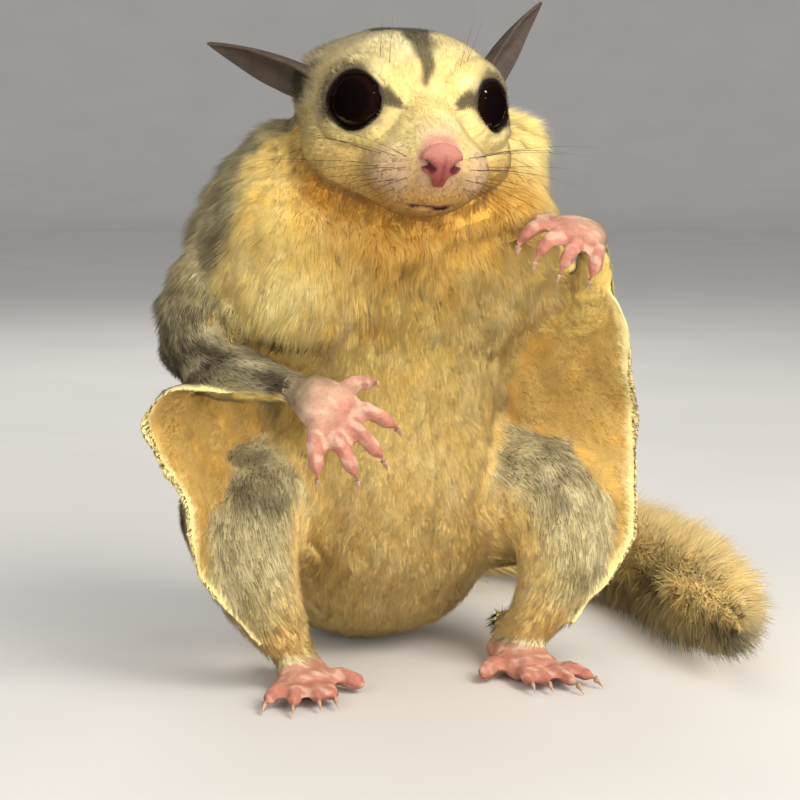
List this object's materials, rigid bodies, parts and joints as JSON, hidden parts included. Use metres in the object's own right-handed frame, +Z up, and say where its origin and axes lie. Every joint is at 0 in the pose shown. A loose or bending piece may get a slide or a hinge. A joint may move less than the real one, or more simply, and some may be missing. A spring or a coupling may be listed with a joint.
{
  "type": "sugar glider model",
  "caption": "Life-size still model of a sugar glider sitting upright on its haunches, hands before its chest and bushy tail laid round its side.",
  "frame": {"origin": "on the floor under the middle of the whole animal's outline", "axes": "+Z up; the animal faces -Y and its left side is +X"},
  "size_m": [0.1156, 0.1018, 0.1164],
  "materials": {
    "cream_fur": "soft short fur, pale cream-yellow with a dark stripe",
    "gold_fur": "dense golden fur",
    "grey_fur": "short grizzled grey fur",
    "membrane_fur": "short dense fur, yellow below and grey above, with a pale rim",
    "tail_fur": "long bushy fur, cream-tan",
    "bare_skin": "bare pink skin with pale claws",
    "nose": "moist bare pink skin",
    "ear": "thin grey-brown skin with fine down",
    "eye": "wet gloss"
  },
  "bodies": {
    "root": {"head": "cream_fur", "nose": "nose", "neck": "gold_fur", "torso": "gold_fur", "eye_left": "eye", "ear_left": "ear", "arm_left": "grey_fur", "hand_left": "bare_skin", "leg_left": "grey_fur", "foot_left": "bare_skin", "membrane_left": "membrane_fur", "eye_right": "eye", "ear_right": "ear", "arm_right": "grey_fur", "hand_right": "bare_skin", "leg_right": "grey_fur", "foot_right": "bare_skin", "membrane_right": "membrane_fur", "tail_1": "tail_fur", "tail_2": "tail_fur", "tail_3": "tail_fur", "tail_4": "tail_fur"}
  },
  "joints": []
}
